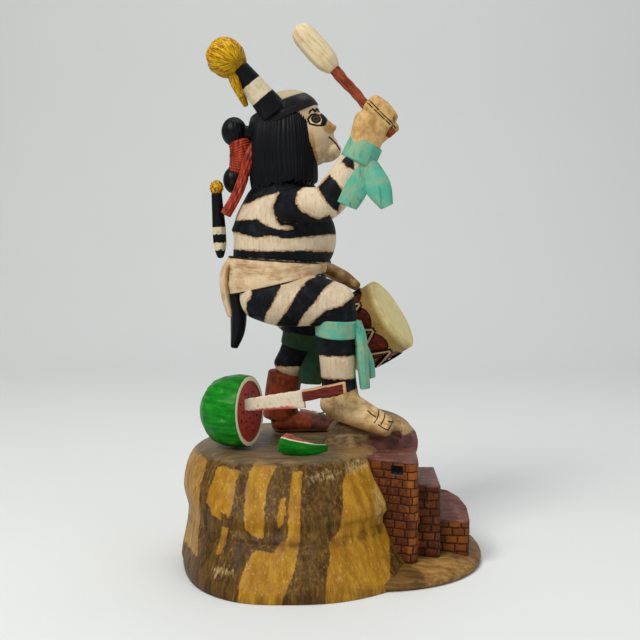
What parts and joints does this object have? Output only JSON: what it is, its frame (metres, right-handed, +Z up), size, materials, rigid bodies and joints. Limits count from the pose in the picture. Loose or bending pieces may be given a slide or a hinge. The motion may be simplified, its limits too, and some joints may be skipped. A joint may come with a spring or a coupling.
{
  "type": "kachina doll",
  "caption": "Carved striped drummer figure with horned cap, raised beater and drum, standing on a mesa with pueblo rooms, a cut melon and a knife.",
  "frame": {"origin": "on the flat underside, below the middle of the figure", "axes": "+X is the way the figure faces, +Y is its left side, +Z is up"},
  "size_m": [0.1784, 0.1672, 0.3098],
  "materials": {
    "mesa_wood": "carved wood, stained and varnished",
    "painted_wood": "carved wood painted cream with black bands",
    "drum_skin": "painted wood, pale skin over a dark red shell",
    "beater_wood": "painted wood, cream head on a red-brown shaft",
    "horn_paint": "painted wood, cream and black bands with a yellow tassel",
    "melon_paint": "glossy green paint with red flesh",
    "knife_wood": "painted wood, cream blade and brown handle",
    "pendant_paint": "painted wood, black and cream bands"
  },
  "bodies": {
    "root": {"mesa_base": "mesa_wood", "clown_figure": "painted_wood", "drum": "drum_skin", "drum_beater": "beater_wood", "horn_right": "horn_paint", "horn_left": "horn_paint", "watermelon_half": "melon_paint", "knife": "knife_wood", "melon_slice_near": "melon_paint", "melon_slice_far": "melon_paint", "back_pendant": "pendant_paint"}
  },
  "joints": []
}
